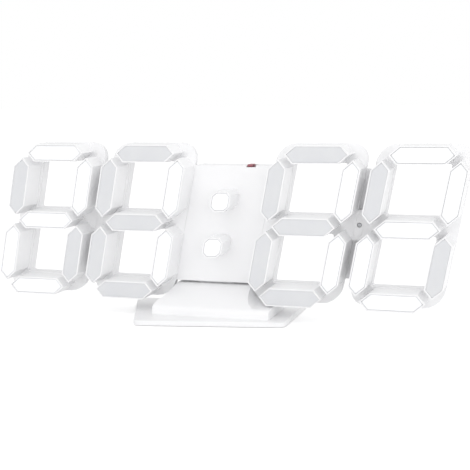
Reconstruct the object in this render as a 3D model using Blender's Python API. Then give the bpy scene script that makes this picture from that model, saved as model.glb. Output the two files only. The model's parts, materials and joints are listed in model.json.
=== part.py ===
"""LED digital wall clock with slanted seven-segment digits, a recessed centre panel and a swivelling stand.

Metres, +Z up. The clock faces -Y and shows 21:12. The origin is on the table under the display face,
halfway between the two middle digits. Outlines are drawn upright as (x, z) points and then slanted.
"""

import math

import bmesh
import bpy
from mathutils import Matrix, Vector

# Digits, measured on their front faces
DIGIT_HEIGHT = 0.078
DIGIT_WIDTH = 0.0447
STROKE_WIDTH = 0.0089
SLANT_ANGLE = math.radians(10.9)
DIGIT_GAP = 0.0046
CENTRE_GAP = 0.0421
MITRE_GAP = 0.0033
TIME_SHOWN = "2112"

# Light cups and their lenses
CUP_DEPTH = 0.014
CUP_WALL = 0.0007
LENS_THICKNESS = 0.0018
LENS_RECESS = 0.0002
LENS_CLEARANCE = 0.0002
LEDGE_WIDTH = 0.0005

# Front plate and rear covers
PLATE_THICKNESS = 0.0018
PLATE_LIP = 0.0003
PLATE_CORNER_RADIUS = 0.0088
WINDOW_CORNER_RADIUS = 0.001
COVER_DEPTH = 0.0059
COVER_WALL = 0.0013
COVER_EDGE_RADIUS = 0.0055
CAVITY_DEPTH = 0.0032
WEB_HEIGHT = 0.015
WEB_WALL = 0.0013
VALLEY_DROP = 0.0123
SENSOR_HOLE_RADIUS = 0.0012

# Circuit boards and the lights on them
BOARD_THICKNESS = 0.0012
BOARD_MARGIN = 0.0004
CHIP_LENGTH = 0.003
CHIP_WIDTH = 0.0026
CHIP_HEIGHT = 0.0008
CHIP_SPACING_SHARE = 0.5
POST_RADIUS = 0.0012

# Centre panel and colon
PANEL_TOP = 0.0282
PANEL_BOTTOM = 0.0308
COLON_SPACING = 0.0228
COLON_SIZE = 0.0101
COLON_CHAMFER = 0.0023

# Centre rear case
CASE_PROUD = 0.006
CASE_WALL = 0.0016
FLANGE_OVERLAP = 0.0062
FLANGE_TOP = 0.0215
FLANGE_BOTTOM = 0.0245
CASE_EDGE_RADIUS = 0.0014
KEYHOLE_HEAD_RADIUS = 0.0039
KEYHOLE_SLOT_WIDTH = 0.004
KEYHOLE_RISE = 0.0062
KEYHOLE_HEIGHT = 0.016
KEYHOLE_DEPTH = 0.005
KEYHOLE_WALL = 0.0012

# Push-buttons on the back
BUTTON_RADIUS = 0.0024
BUTTON_FLANGE_RADIUS = 0.0031
BUTTON_FLANGE_THICKNESS = 0.001
BUTTON_PEG_RADIUS = 0.0012
BUTTON_EDGE_CHAMFER = 0.0003
BUTTON_PROUD = 0.0009
BUTTON_TRAVEL = 0.0005
BUTTON_SPACING = 0.0105
BUTTON_HEIGHT = 0.0055
TACT_SIZE = 0.0045

# Battery bay
CELL_RADIUS = 0.01
CELL_THICKNESS = 0.0032
CELL_DROP = 0.0135
CELL_STEP = 0.0006
HOLDER_WALL = 0.0009
CAP_RADIUS = 0.0118
CAP_SLOT_LENGTH = 0.015
CAP_SLOT_WIDTH = 0.0018
CAP_SLOT_DEPTH = 0.0008

# Power socket, buzzer and controller
SOCKET_LENGTH = 0.0089
SOCKET_WIDTH = 0.0032
SOCKET_CORNER_RADIUS = 0.0014
SOCKET_WALL = 0.0003
SOCKET_TONGUE_WIDTH = 0.0066
SOCKET_TONGUE_HEIGHT = 0.0008
SOCKET_FLOOR = 0.0015
SOCKET_OFFSET = 0.0122
BUZZER_RADIUS = 0.0035
BUZZER_HEIGHT = 0.004
BUZZER_OFFSET = 0.0125
SOUND_HOLE_RADIUS = 0.0006
SOUND_HOLE_SPACING = 0.0018
CONTROLLER_SIZE = 0.007
CONTROLLER_HEIGHT = 0.0012

# Alarm slide switch in the top edge of the centre panel
SWITCH_OFFSET = 0.0087
SWITCH_NOTCH_DEPTH = 0.0009
SWITCH_WIDTH = 0.003
SWITCH_BODY_HEIGHT = 0.003
SLIDER_LENGTH = 0.0024
SLIDER_PROUD = 0.0005
SLIDER_TRAVEL = 0.0018

# Case screws
SCREW_HEAD_RADIUS = 0.0019
SCREW_HEAD_THICKNESS = 0.0012
SCREW_SHANK_RADIUS = 0.0009
SCREW_LENGTH = 0.0066
SCREW_SLOT_WIDTH = 0.0006
SCREW_SLOT_DEPTH = 0.0005
SCREW_BOSS_WALL = 0.0009

# Stand
STAND_LIFT = 0.0084
STAND_CENTRE = -0.002
FOOT_THICKNESS = 0.0022
FOOT_FRONT_WIDTH = 0.0734
FOOT_DEPTH = 0.056
FOOT_FRONT_REACH = 0.0199
FOOT_SPLAY = math.radians(10)
FOOT_TURN = math.radians(10.5)
FOOT_CORNER_RADIUS = 0.004
FOOT_EDGE_CHAMFER = 0.0005
PAD_THICKNESS = 0.001
PAD_PROUD = 0.0004
PAD_MARGIN = 0.003
PIVOT_DEPTH = 0.004
PIVOT_SIDE = -0.0012
HUB_RADIUS = 0.0065
HUB_HEIGHT = 0.0016
PIVOT_SHANK_RADIUS = 0.0019
PIVOT_HEAD_RADIUS = 0.0034
PIVOT_HEAD_THICKNESS = 0.0015
PIVOT_REACH = 0.0048
NECK_WIDTH = 0.06
NECK_FRONT = 0.0066
NECK_FLARE = 0.0008
NECK_RAMP_END = 0.0135
NECK_BACK = 0.0245
NECK_SIDE_CLEARANCE = 0.001
NECK_WALL = 0.002
NECK_BROW_RADIUS = 0.003
PANEL_GAP = 0.0012
UNDER_GAP = 0.0009
TONGUE_WIDTH = 0.018
TONGUE_THICKNESS = 0.0026
TONGUE_RISE = 0.0065

# Clearances, and how far a cutter runs past what it cuts
GAP = 0.0003
OVERRUN = 0.0005

# Facets on round shapes
CORNER_STEPS = 5
SMALL_CORNER_STEPS = 2
ROUND_SIDES = 24
EDGE_STEPS = 4
SMOOTH_ANGLE = math.radians(30)

SLANT = math.tan(SLANT_ANGLE)
CENTRE_HEIGHT = STAND_LIFT + DIGIT_HEIGHT / 2
DIGIT_PITCH = DIGIT_WIDTH + DIGIT_GAP
CENTRE_PITCH = DIGIT_WIDTH + CENTRE_GAP
DIGIT_CENTRES = (
    -CENTRE_PITCH / 2 - DIGIT_PITCH,
    -CENTRE_PITCH / 2,
    CENTRE_PITCH / 2,
    CENTRE_PITCH / 2 + DIGIT_PITCH,
)
PLATE_BACK = CUP_DEPTH + PLATE_THICKNESS
COVER_FRONT = PLATE_BACK + GAP
BOARD_BACK = COVER_FRONT + BOARD_THICKNESS
BODY_DEPTH = COVER_FRONT + COVER_DEPTH
CASE_DEPTH = BODY_DEPTH + CASE_PROUD
PLATE_WIDTH = DIGIT_WIDTH + 2 * PLATE_LIP
PLATE_HEIGHT = DIGIT_HEIGHT + 2 * PLATE_LIP
COLUMN = (DIGIT_WIDTH - STROKE_WIDTH) / 2
ROW = (DIGIT_HEIGHT - STROKE_WIDTH) / 2
WINDOW_WIDTH = DIGIT_WIDTH - 2 * STROKE_WIDTH - 2 * PLATE_LIP
WINDOW_HEIGHT = ROW - STROKE_WIDTH - 2 * PLATE_LIP
PANEL_HALF_WIDTH = (CENTRE_PITCH - PLATE_WIDTH) / 2 - GAP

SEGMENTS = {
    "top": (0, ROW),
    "upper_left": (-COLUMN, ROW / 2),
    "upper_right": (COLUMN, ROW / 2),
    "middle": (0, 0),
    "lower_left": (-COLUMN, -ROW / 2),
    "lower_right": (COLUMN, -ROW / 2),
    "bottom": (0, -ROW),
}
UPRIGHT_SEGMENTS = ("upper_left", "upper_right", "lower_left", "lower_right")
LIT_SEGMENTS = {
    "1": ("upper_right", "lower_right"),
    "2": ("top", "upper_right", "middle", "lower_left", "bottom"),
}


# Outlines, as lists of (x, z) points that run anticlockwise seen from the front


def rounded(points, radius, steps):
    """Rounds each corner of a convex anticlockwise outline with an arc of the given radius."""
    outline = []
    for index, corner in enumerate(points):
        before = points[index - 1]
        after = points[(index + 1) % len(points)]
        into = unit(corner[0] - before[0], corner[1] - before[1])
        out = unit(after[0] - corner[0], after[1] - corner[1])
        turn = math.atan2(into[0] * out[1] - into[1] * out[0], into[0] * out[0] + into[1] * out[1])
        setback = radius * math.tan(turn / 2)
        x = corner[0] - into[0] * setback - into[1] * radius
        z = corner[1] - into[1] * setback + into[0] * radius
        first = math.atan2(-into[0], into[1])
        for step in range(steps + 1):
            angle = first + turn * step / steps
            outline.append((x + radius * math.cos(angle), z + radius * math.sin(angle)))
    return outline


def unit(x, z):
    length = math.hypot(x, z)
    return x / length, z / length


def rectangle(width, height, centre=(0, 0)):
    x, z = width / 2, height / 2
    corners = ((-x, -z), (x, -z), (x, z), (-x, z))
    return [(centre[0] + corner[0], centre[1] + corner[1]) for corner in corners]


def circle(radius, centre=(0, 0)):
    angles = [math.tau * side / ROUND_SIDES for side in range(ROUND_SIDES)]
    return [(centre[0] + radius * math.cos(a), centre[1] + radius * math.sin(a)) for a in angles]


def inset(points, distance):
    """Moves each side of a convex anticlockwise outline inwards by the distance."""
    moved = []
    for index, start in enumerate(points):
        end = points[(index + 1) % len(points)]
        along = unit(end[0] - start[0], end[1] - start[1])
        moved.append(((start[0] - along[1] * distance, start[1] + along[0] * distance), along))
    outline = []
    for index, (point, along) in enumerate(moved):
        other, direction = moved[index - 1]
        cross = along[0] * direction[1] - along[1] * direction[0]
        travel = ((other[0] - point[0]) * direction[1] - (other[1] - point[1]) * direction[0]) / cross
        outline.append((point[0] + along[0] * travel, point[1] + along[1] * travel))
    return outline


def segment_outline(segment, margin=0):
    """The six-sided outline of one segment: a stroke whose ends are cut at 45 degrees to a point."""
    setback = MITRE_GAP / math.sqrt(2)
    half_stroke = STROKE_WIDTH / 2
    reach = (ROW / 2 if segment in UPRIGHT_SEGMENTS else COLUMN) - setback
    shape = [
        (-reach, 0),
        (-reach + half_stroke, -half_stroke),
        (reach - half_stroke, -half_stroke),
        (reach, 0),
        (reach - half_stroke, half_stroke),
        (-reach + half_stroke, half_stroke),
    ]
    if segment in UPRIGHT_SEGMENTS:
        shape = [(-z, x) for x, z in shape]
    x, z = SEGMENTS[segment]
    return inset([(x + point[0], z + point[1]) for point in shape], margin)


def colon_outline(side, margin=0):
    """A square with cut corners, above (side 1) or below (side -1) the middle of the panel."""
    half = COLON_SIZE / 2
    cut = half - COLON_CHAMFER
    corners = ((-cut, -half), (cut, -half), (half, -cut), (half, cut))
    corners += tuple((-x, -z) for x, z in corners)
    centre = side * COLON_SPACING / 2
    return inset([(x, centre + z) for x, z in corners], margin)


def digit_outline(margin=0):
    """The rounded outline of a digit's plate and cover, moved inwards by the margin."""
    corners = rectangle(PLATE_WIDTH - 2 * margin, PLATE_HEIGHT - 2 * margin)
    return rounded(corners, PLATE_CORNER_RADIUS - margin, CORNER_STEPS)


def window_outline(side, margin=0):
    """The see-through window above (side 1) or below (side -1) a digit's middle stroke."""
    corners = rectangle(WINDOW_WIDTH + 2 * margin, WINDOW_HEIGHT + 2 * margin, (0, side * ROW / 2))
    return rounded(corners, WINDOW_CORNER_RADIUS + margin, SMALL_CORNER_STEPS)


def panel_outline(margin=0, top=PANEL_TOP, bottom=PANEL_BOTTOM, half_width=PANEL_HALF_WIDTH):
    corners = ((-half_width, -bottom), (half_width, -bottom), (half_width, top), (-half_width, top))
    return inset(corners, margin)


# Solids


def mesh_object(name, verts, faces, slanted=True):
    """A mesh object from its points and faces, with the upright x and z slanted unless told otherwise."""
    if slanted:
        verts = [(x + z * SLANT, y, z) for x, y, z in verts]
    mesh = bpy.data.meshes.new(name)
    mesh.from_pydata(verts, [], faces)
    bm = bmesh.new()
    bm.from_mesh(mesh)
    bmesh.ops.recalc_face_normals(bm, faces=bm.faces)
    bm.to_mesh(mesh)
    bm.free()
    piece = bpy.data.objects.new(name, mesh)
    bpy.context.scene.collection.objects.link(piece)
    return piece


def skinned(name, rings, slanted=False):
    """A closed solid through rings of equally many points."""
    count = len(rings[0])
    verts = [point for ring in rings for point in ring]
    faces = [list(range(count)), list(range(len(verts) - count, len(verts)))]
    for ring in range(len(rings) - 1):
        low, high = ring * count, (ring + 1) * count
        for index in range(count):
            after = (index + 1) % count
            faces.append([low + index, low + after, high + after, high + index])
    return mesh_object(name, verts, faces, slanted)


def lofted(name, rings, slanted=True):
    """A solid through upright rings, each an (x, z) outline and its depth y."""
    return skinned(name, [[(x, y, z) for x, z in outline] for outline, y in rings], slanted)


def stacked(name, rings):
    """A solid through level rings, each an (x, y) outline and its height z."""
    return skinned(name, [[(x, y, z) for x, y in outline] for outline, z in rings])


def turned(name, profile, x=0, z=0):
    """A round solid about an axis along the depth, from (radius, y) pairs."""
    return lofted(name, [(circle(radius, (x, z)), y) for radius, y in profile], slanted=False)


def prism(name, outline, front, back, slanted=True):
    return lofted(name, [(outline, front), (outline, back)], slanted)


def joined(name, pieces):
    """One object that holds several separate closed solids, for use in a Boolean."""
    verts, faces = [], []
    for piece in pieces:
        start = len(verts)
        verts += [tuple(vertex.co) for vertex in piece.data.vertices]
        faces += [[start + index for index in face.vertices] for face in piece.data.polygons]
        bpy.data.objects.remove(piece)
    return mesh_object(name, verts, faces, slanted=False)


def block(name, low, high, slanted=True):
    """A box between two corners, given as (x, y, z)."""
    outline = [(low[0], low[2]), (high[0], low[2]), (high[0], high[2]), (low[0], high[2])]
    return prism(name, outline, low[1], high[1], slanted)


def cylinder(name, radius, front, back, x=0, z=0):
    """A round bar along the depth, centred on a point that slants with the clock."""
    return turned(name, [(radius, front), (radius, back)], x + z * SLANT, z)


def boolean(piece, tool, operation="DIFFERENCE"):
    """Cuts, joins or intersects a piece with a tool, which is then kept as a hidden helper."""
    modifier = piece.modifiers.new(operation.title(), "BOOLEAN")
    modifier.operation = operation
    modifier.object = tool
    modifier.solver = "EXACT"
    tool.hide_render = True
    tool.display_type = "WIRE"
    return piece


def finish(piece, material, parent=None, location=(0, 0, 0), smooth=False):
    """Gives a piece its material and carrier, and moves it and its helpers to their place."""
    piece.data.materials.append(material)
    piece.parent = parent
    piece.location = location
    for modifier in piece.modifiers:
        place_helper(modifier.object, parent, location)
    if smooth:
        piece.data.shade_smooth()
        piece.data.set_sharp_from_angle(angle=SMOOTH_ANGLE)
    return piece


def place_helper(tool, parent, location):
    tool.parent = parent
    tool.location = location
    for modifier in tool.modifiers:
        place_helper(modifier.object, parent, location)


def paint(name, colour, roughness, metallic=0.0, glow=0.0):
    """A Principled BSDF material with the piece's colour, roughness and metallic value."""
    material = bpy.data.materials.new(name)
    material.use_nodes = True
    shader = material.node_tree.nodes["Principled BSDF"]
    shader.inputs["Base Color"].default_value = (*colour, 1.0)
    shader.inputs["Roughness"].default_value = roughness
    shader.inputs["Metallic"].default_value = metallic
    shader.inputs["Emission Color"].default_value = (*colour, 1.0)
    shader.inputs["Emission Strength"].default_value = glow
    material.diffuse_color = (*colour, 1.0)
    return material


# Digits


def light_well(outline_of, back):
    """The hollow of a cup: as wide as its lens down to the ledge that carries it, then narrower."""
    ledge = LENS_RECESS + LENS_THICKNESS + LENS_CLEARANCE
    mouth = outline_of(CUP_WALL)
    throat = outline_of(CUP_WALL + LEDGE_WIDTH)
    return lofted("well", [(mouth, -OVERRUN), (mouth, ledge), (throat, ledge), (throat, back)])


def front_frame(name):
    """A digit's plate with its two windows, and seven cups that stand on it, open at both ends."""
    frame = prism(name, digit_outline(), CUP_DEPTH, PLATE_BACK)
    windows = [
        prism("window", window_outline(side), CUP_DEPTH - OVERRUN, PLATE_BACK + OVERRUN)
        for side in (1, -1)
    ]
    cup_back = CUP_DEPTH + PLATE_THICKNESS / 2
    cups = [prism("cup", segment_outline(segment), 0, cup_back) for segment in SEGMENTS]
    wells = [
        light_well(lambda margin, segment=segment: segment_outline(segment, margin), PLATE_BACK + OVERRUN)
        for segment in SEGMENTS
    ]
    boolean(frame, joined(name + "_windows", windows))
    boolean(frame, joined(name + "_cups", cups), "UNION")
    return boolean(frame, joined(name + "_wells", wells))


def lens(name, outline):
    return prism(name, outline, LENS_RECESS, LENS_RECESS + LENS_THICKNESS)


def shifted(outline, distance):
    return [(x + distance, z) for x, z in outline]


def round_backed(outline_of, front, back, radius):
    """Rings of a solid whose back edge is a quarter circle of the given radius."""
    rings = [(outline_of(0), front)]
    for step in range(EDGE_STEPS + 1):
        angle = math.pi / 2 * step / EDGE_STEPS
        rings.append((outline_of(radius * (1 - math.cos(angle))), back - radius + radius * math.sin(angle)))
    return rings


def cover_shell(name, distance):
    """The outer shape of one digit's rear cover, before it is hollowed."""
    radius = min(COVER_EDGE_RADIUS, PLATE_CORNER_RADIUS - GAP, BODY_DEPTH - COVER_FRONT - GAP)

    def outline_of(margin):
        return shifted(digit_outline(margin), distance)

    return lofted(name, round_backed(outline_of, COVER_FRONT, BODY_DEPTH, radius))


def pair_windows(name, margin, front, back):
    """The four windows of a pair of digits, grown by the margin, as one tool."""
    windows = [
        prism("window", shifted(window_outline(side, margin), distance), front, back)
        for side in (1, -1)
        for distance in (-DIGIT_PITCH / 2, DIGIT_PITCH / 2)
    ]
    return joined(name, windows)


def rear_cover(name, centre_side, sensor_hole):
    """The shell behind a pair of digits, with the web between them and a thin wall along the valley that
    the two halves leave. centre_side is 1 where the clock's middle lies to the right of the pair, and -1
    where it lies to the left."""
    shift = DIGIT_PITCH / 2
    cavity_back = COVER_FRONT + CAVITY_DEPTH
    half_gap = (DIGIT_PITCH - PLATE_WIDTH) / 2
    half_web = WEB_HEIGHT / 2
    half_channel = half_web - WEB_WALL
    cover = cover_shell(name, -shift)
    boolean(cover, cover_shell(name + "_second_shell", shift), "UNION")
    reach = half_gap + COVER_WALL / 2
    web = block(name + "_web", (-reach, COVER_FRONT, -half_web), (reach, BODY_DEPTH - GAP, half_web))
    boolean(cover, web, "UNION")
    half_valley = PLATE_HEIGHT / 2 - VALLEY_DROP
    valley_back = COVER_FRONT + 2 * WEB_WALL
    low = (-reach, valley_back - WEB_WALL, -half_valley)
    valley = block(name + "_valley", low, (reach, valley_back, half_valley))
    boolean(cover, valley, "UNION")
    web_front = block(
        name + "_web_front",
        (GAP - half_gap, CUP_DEPTH, -half_web),
        (half_gap - GAP, (COVER_FRONT + cavity_back) / 2, half_web),
    )
    boolean(cover, web_front, "UNION")
    front = COVER_FRONT - OVERRUN
    boolean(cover, pair_windows(name + "_windows", 0, front, BODY_DEPTH + OVERRUN))
    hollows = [
        prism("hollow", shifted(digit_outline(COVER_WALL), distance), front, cavity_back)
        for distance in (-shift, shift)
    ]
    cavity = joined(name + "_cavity", hollows)
    boolean(cavity, pair_windows(name + "_collars", COVER_WALL, front - OVERRUN, BODY_DEPTH))
    boolean(cover, cavity)
    channel_reach = half_gap + 2 * COVER_WALL
    channel = block(
        name + "_channel",
        (-channel_reach, CUP_DEPTH + WEB_WALL, -half_channel),
        (channel_reach, cavity_back - GAP, half_channel),
    )
    boolean(cover, channel)
    edge = shift + PLATE_WIDTH / 2
    ends = sorted((centre_side * (edge - 2 * COVER_WALL), centre_side * (edge + OVERRUN)))
    notch = block(
        name + "_board_notch",
        (ends[0], COVER_FRONT - OVERRUN, -half_channel),
        (ends[1], BOARD_BACK + GAP, half_channel),
    )
    boolean(cover, notch)
    post_front = BOARD_BACK + GAP
    posts = [
        cylinder("post", POST_RADIUS, post_front, cavity_back + OVERRUN, distance, height)
        for height in (-ROW, 0, ROW)
        for distance in (-shift, shift)
    ]
    boolean(cover, joined(name + "_posts", posts), "UNION")
    screw_x = centre_side * (CENTRE_PITCH / 2 + DIGIT_PITCH / 2 - screw_offset())
    holes = [
        cylinder("hole", SCREW_SHANK_RADIUS + GAP, cavity_back - OVERRUN, BODY_DEPTH + OVERRUN, screw_x, z)
        for z in screw_heights()
    ]
    boolean(cover, joined(name + "_screw_holes", holes))
    if sensor_hole:
        hole = cylinder(name + "_sensor_hole", SENSOR_HOLE_RADIUS, CUP_DEPTH - OVERRUN, COVER_FRONT)
        boolean(cover, hole)
    return cover


def screw_offset():
    """How far the case screws stand from the clock's middle, before the slant."""
    return PANEL_HALF_WIDTH + GAP + FLANGE_OVERLAP / 2


def screw_heights():
    return FLANGE_TOP - FLANGE_OVERLAP / 2, FLANGE_OVERLAP / 2 - FLANGE_BOTTOM


# Circuit boards


def chip(x, z, along_x):
    """A light-emitting chip on the front of a board, lying along its segment."""
    length, width = (CHIP_LENGTH, CHIP_WIDTH) if along_x else (CHIP_WIDTH, CHIP_LENGTH)
    low = (x - length / 2, COVER_FRONT - CHIP_HEIGHT, z - width / 2)
    high = (x + length / 2, COVER_FRONT + BOARD_THICKNESS / 2, z + width / 2)
    return block("chip", low, high)


def segment_chips(segment, distance):
    """Two chips, spread along the segment."""
    x, z = SEGMENTS[segment]
    upright = segment in UPRIGHT_SEGMENTS
    spread = (ROW / 2 if upright else COLUMN) * CHIP_SPACING_SHARE
    chips = []
    for side in (-1, 1):
        step = side * spread
        place = (x + distance, z + step) if upright else (x + distance + step, z)
        chips.append(chip(*place, along_x=not upright))
    return chips


def led_board(name, centre_side):
    """A board behind a pair of digits, with a strip through the web and a tab to the main board."""
    shift = DIGIT_PITCH / 2
    margin = COVER_WALL + BOARD_MARGIN
    half_strip = WEB_HEIGHT / 2 - WEB_WALL - BOARD_MARGIN
    board = prism(name, shifted(digit_outline(margin), -shift), COVER_FRONT, BOARD_BACK)
    second = prism(name + "_second", shifted(digit_outline(margin), shift), COVER_FRONT, BOARD_BACK)
    boolean(board, second, "UNION")
    half_gap = (DIGIT_PITCH - PLATE_WIDTH) / 2 + 2 * margin
    low = (-half_gap, COVER_FRONT, -half_strip)
    strip = block(name + "_strip", low, (half_gap, BOARD_BACK, half_strip))
    boolean(board, strip, "UNION")
    edge = shift + PLATE_WIDTH / 2
    ends = sorted((centre_side * (edge - 2 * margin), centre_side * (edge + CASE_WALL + BOARD_MARGIN)))
    tab = block(name + "_tab", (ends[0], COVER_FRONT, -half_strip), (ends[1], BOARD_BACK, half_strip))
    boolean(board, tab, "UNION")
    boolean(board, pair_windows(name + "_windows", margin, COVER_FRONT - OVERRUN, BOARD_BACK + OVERRUN))
    chips = [
        part
        for segment in SEGMENTS
        for distance in (-shift, shift)
        for part in segment_chips(segment, distance)
    ]
    return boolean(board, joined(name + "_chips", chips), "UNION")


def main_board(name):
    """The board behind the centre panel: colon lights in front, controller and tact switches behind."""
    board = prism(name, panel_outline(CASE_WALL + BOARD_MARGIN), COVER_FRONT, BOARD_BACK)
    root = COVER_FRONT + BOARD_THICKNESS / 2
    parts = [chip(0, side * COLON_SPACING / 2, along_x=True) for side in (1, -1)]
    half = TACT_SIZE / 2
    for x in button_places():
        low = (x - half, root, BUTTON_HEIGHT - half)
        parts.append(block("tact", low, (x + half, tact_back(), BUTTON_HEIGHT + half)))
    half = CONTROLLER_SIZE / 2
    z = KEYHOLE_HEIGHT
    low = (-half, root, z - half)
    parts.append(block("controller", low, (half, BOARD_BACK + CONTROLLER_HEIGHT, z + half)))
    return boolean(board, joined(name + "_parts", parts), "UNION")


def button_places():
    return -BUTTON_SPACING, 0, BUTTON_SPACING


def tact_back():
    return (BOARD_BACK + CASE_DEPTH - CASE_WALL) / 2


# Centre panel and case


def colon_lens(name, side):
    return lens(name, colon_outline(side, CUP_WALL + LENS_CLEARANCE))


def centre_panel(name):
    """The recessed panel between the middle digits, with two square towers for the colon's lenses."""
    panel = prism(name, panel_outline(), CUP_DEPTH, PLATE_BACK)
    cup_back = CUP_DEPTH + PLATE_THICKNESS / 2
    towers = [prism("tower", colon_outline(side), 0, cup_back) for side in (1, -1)]
    wells = [
        light_well(lambda margin, side=side: colon_outline(side, margin), PLATE_BACK + OVERRUN)
        for side in (1, -1)
    ]
    boolean(panel, joined(name + "_towers", towers), "UNION")
    boolean(panel, joined(name + "_wells", wells))
    half = switch_half_length()
    notch = block(
        name + "_switch_notch",
        (SWITCH_OFFSET - half, CUP_DEPTH - OVERRUN, PANEL_TOP - SWITCH_NOTCH_DEPTH),
        (SWITCH_OFFSET + half, PLATE_BACK + OVERRUN, PANEL_TOP + OVERRUN),
    )
    return boolean(panel, notch)


def switch_half_length():
    return (SLIDER_LENGTH + SLIDER_TRAVEL) / 2 + GAP


def flange_outline(margin=0):
    half = PANEL_HALF_WIDTH + GAP + FLANGE_OVERLAP
    return panel_outline(margin, FLANGE_TOP, FLANGE_BOTTOM, half)


def keyhole(name, front, back):
    """A round hole and the narrow slot above it, which a screw's head hooks into."""
    x = KEYHOLE_HEIGHT * SLANT
    half = KEYHOLE_SLOT_WIDTH / 2
    top = KEYHOLE_HEIGHT + KEYHOLE_RISE
    slot = rectangle(2 * half, KEYHOLE_RISE, (x, KEYHOLE_HEIGHT + KEYHOLE_RISE / 2))
    radius = KEYHOLE_HEAD_RADIUS
    hole = turned(name, [(radius, front), (radius, back)], x, KEYHOLE_HEIGHT)
    boolean(hole, prism(name + "_slot", slot, front, back, slanted=False), "UNION")
    return boolean(hole, turned(name + "_slot_end", [(half, front), (half, back)], x, top), "UNION")


def rear_case(name):
    """The case behind the centre panel, open to the front, with a flange on each side over the covers."""
    case = lofted(name, round_backed(panel_outline, COVER_FRONT, CASE_DEPTH, CASE_EDGE_RADIUS))
    flange_front = BODY_DEPTH + GAP
    flange_rings = round_backed(flange_outline, flange_front, CASE_DEPTH, CASE_EDGE_RADIUS)
    boolean(case, lofted(name + "_flange", flange_rings), "UNION")
    wall_front = CASE_DEPTH - CASE_WALL
    boolean(case, prism(name + "_cavity", panel_outline(CASE_WALL), COVER_FRONT - OVERRUN, wall_front))
    cavity_front = flange_front + CASE_WALL
    boolean(case, prism(name + "_flange_cavity", flange_outline(CASE_WALL), cavity_front, wall_front))
    places = [(side * screw_offset(), z) for side in (1, -1) for z in screw_heights()]
    boss_radius = SCREW_HEAD_RADIUS + GAP + SCREW_BOSS_WALL
    wall_middle = wall_front + CASE_WALL / 2
    bosses = [cylinder("boss", boss_radius, flange_front, wall_middle, *place) for place in places]
    boolean(case, joined(name + "_bosses", bosses), "UNION")
    radius = SCREW_SHANK_RADIUS + GAP
    shanks = [cylinder("shank", radius, flange_front - OVERRUN, CASE_DEPTH, *place) for place in places]
    boolean(case, joined(name + "_shank_holes", shanks))
    radius = SCREW_HEAD_RADIUS + GAP
    seat = screw_head_front() - GAP
    heads = [cylinder("head", radius, seat, CASE_DEPTH + OVERRUN, *place) for place in places]
    boolean(case, joined(name + "_head_holes", heads))
    pocket_front = CASE_DEPTH - KEYHOLE_DEPTH
    reach = KEYHOLE_HEAD_RADIUS + KEYHOLE_WALL
    x = KEYHOLE_HEIGHT * SLANT
    top = KEYHOLE_HEIGHT + KEYHOLE_RISE + KEYHOLE_SLOT_WIDTH / 2 + KEYHOLE_WALL
    box = block(
        name + "_pocket_box",
        (x - reach, pocket_front - KEYHOLE_WALL, KEYHOLE_HEIGHT - reach),
        (x + reach, wall_middle, top),
        slanted=False,
    )
    boolean(case, box, "UNION")
    pocket = block(
        name + "_pocket",
        (x - reach + KEYHOLE_WALL, pocket_front, KEYHOLE_HEIGHT - reach + KEYHOLE_WALL),
        (x + reach - KEYHOLE_WALL, wall_front, top - KEYHOLE_WALL),
        slanted=False,
    )
    boolean(case, pocket)
    through = (wall_front - OVERRUN, CASE_DEPTH + OVERRUN)
    boolean(case, keyhole(name + "_keyhole", *through))
    radius = BUTTON_RADIUS + GAP
    holes = [cylinder("hole", radius, *through, x, BUTTON_HEIGHT) for x in button_places()]
    holes += [cylinder("hole", SOUND_HOLE_RADIUS, *through, x, z) for x, z in sound_holes()]
    holes.append(cylinder("hole", CAP_RADIUS + GAP, *through, 0, -CELL_DROP))
    holes.append(socket_prism("hole", -GAP, *through))
    boolean(case, joined(name + "_holes", holes))
    half = switch_half_length()
    slot = block(
        name + "_switch_slot",
        (SWITCH_OFFSET - half, COVER_FRONT - OVERRUN, PANEL_TOP - CASE_WALL - OVERRUN),
        (SWITCH_OFFSET + half, switch_back() + GAP, PANEL_TOP + OVERRUN),
    )
    boolean(case, slot)
    notch = block(
        name + "_board_notch",
        (-PANEL_HALF_WIDTH - OVERRUN, COVER_FRONT - OVERRUN, WEB_WALL - WEB_HEIGHT / 2),
        (PANEL_HALF_WIDTH + OVERRUN, BOARD_BACK + GAP, WEB_HEIGHT / 2 - WEB_WALL),
    )
    boolean(case, notch)
    half = TONGUE_WIDTH / 2 + GAP
    tongue_slot = block(
        name + "_tongue_slot",
        (-half, BOARD_BACK, -PANEL_BOTTOM - OVERRUN),
        (half, BOARD_BACK + TONGUE_THICKNESS + 2 * GAP, -PANEL_BOTTOM + CASE_WALL + OVERRUN),
    )
    return boolean(case, tongue_slot)


def screw_head_front():
    return CASE_DEPTH - GAP - SCREW_HEAD_THICKNESS


def case_screw(name):
    """A pan-head screw with its axis along the depth, its head at the back and a slot across it."""
    front = screw_head_front()
    back = front + SCREW_HEAD_THICKNESS
    profile = [
        (SCREW_SHANK_RADIUS - GAP, front - SCREW_LENGTH),
        (SCREW_SHANK_RADIUS, front - SCREW_LENGTH + GAP),
        (SCREW_SHANK_RADIUS, front),
        (SCREW_HEAD_RADIUS, front),
        (SCREW_HEAD_RADIUS, back - GAP),
        (SCREW_HEAD_RADIUS - GAP, back),
    ]
    screw = turned(name, profile)
    slot = block(
        name + "_slot",
        (-SCREW_HEAD_RADIUS - OVERRUN, back - SCREW_SLOT_DEPTH, -SCREW_SLOT_WIDTH / 2),
        (SCREW_HEAD_RADIUS + OVERRUN, back + OVERRUN, SCREW_SLOT_WIDTH / 2),
        slanted=False,
    )
    return boolean(screw, slot)


def sound_holes():
    """Five small holes in a cross over the buzzer."""
    spacing = SOUND_HOLE_SPACING
    steps = ((0, 0), (spacing, 0), (-spacing, 0), (0, spacing), (0, -spacing))
    return [(x - BUZZER_OFFSET, z + KEYHOLE_HEIGHT) for x, z in steps]


# Pieces in the centre case


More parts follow.
